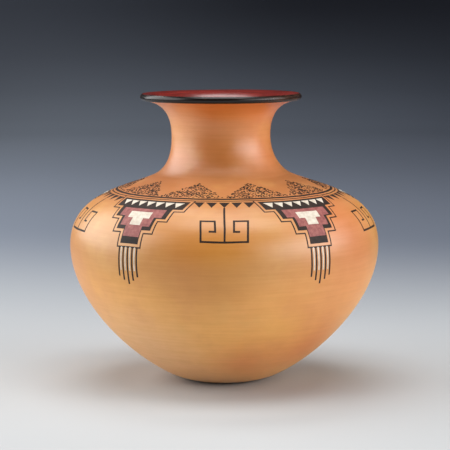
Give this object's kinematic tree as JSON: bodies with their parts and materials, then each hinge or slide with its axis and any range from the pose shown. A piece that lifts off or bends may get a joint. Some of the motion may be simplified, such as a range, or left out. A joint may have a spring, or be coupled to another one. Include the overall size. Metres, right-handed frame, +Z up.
{
  "type": "pottery jar",
  "caption": "Round-bellied coil-built pottery jar with a small flat foot, a drawn-in neck and a wide turned-out lip, for holding dry goods or for display.",
  "frame": {"origin": "centre of the flat underside of the foot", "axes": "+Z up along the jar's own axis, -Y towards the side that the picture shows"},
  "size_m": [0.21, 0.21, 0.1951],
  "materials": {
    "clay": "stone-polished satin",
    "red_slip": "polished slip",
    "black_paint": "matt"
  },
  "bodies": {
    "root": {"pressed_base": "clay", "lower_wall_coil_1": "clay", "lower_wall_coil_2": "clay", "lower_wall_coil_3": "clay", "lower_wall_coil_4": "clay", "shoulder_coil_1": "clay", "shoulder_coil_2": "clay", "shoulder_coil_3": "clay", "shoulder_coil_4": "clay", "neck_coil_1": "clay", "neck_coil_2": "clay", "lip_coil_1": "clay", "lip_coil_2": "clay", "lip_red_slip": "red_slip", "rim_black_paint": "black_paint"}
  },
  "joints": []
}
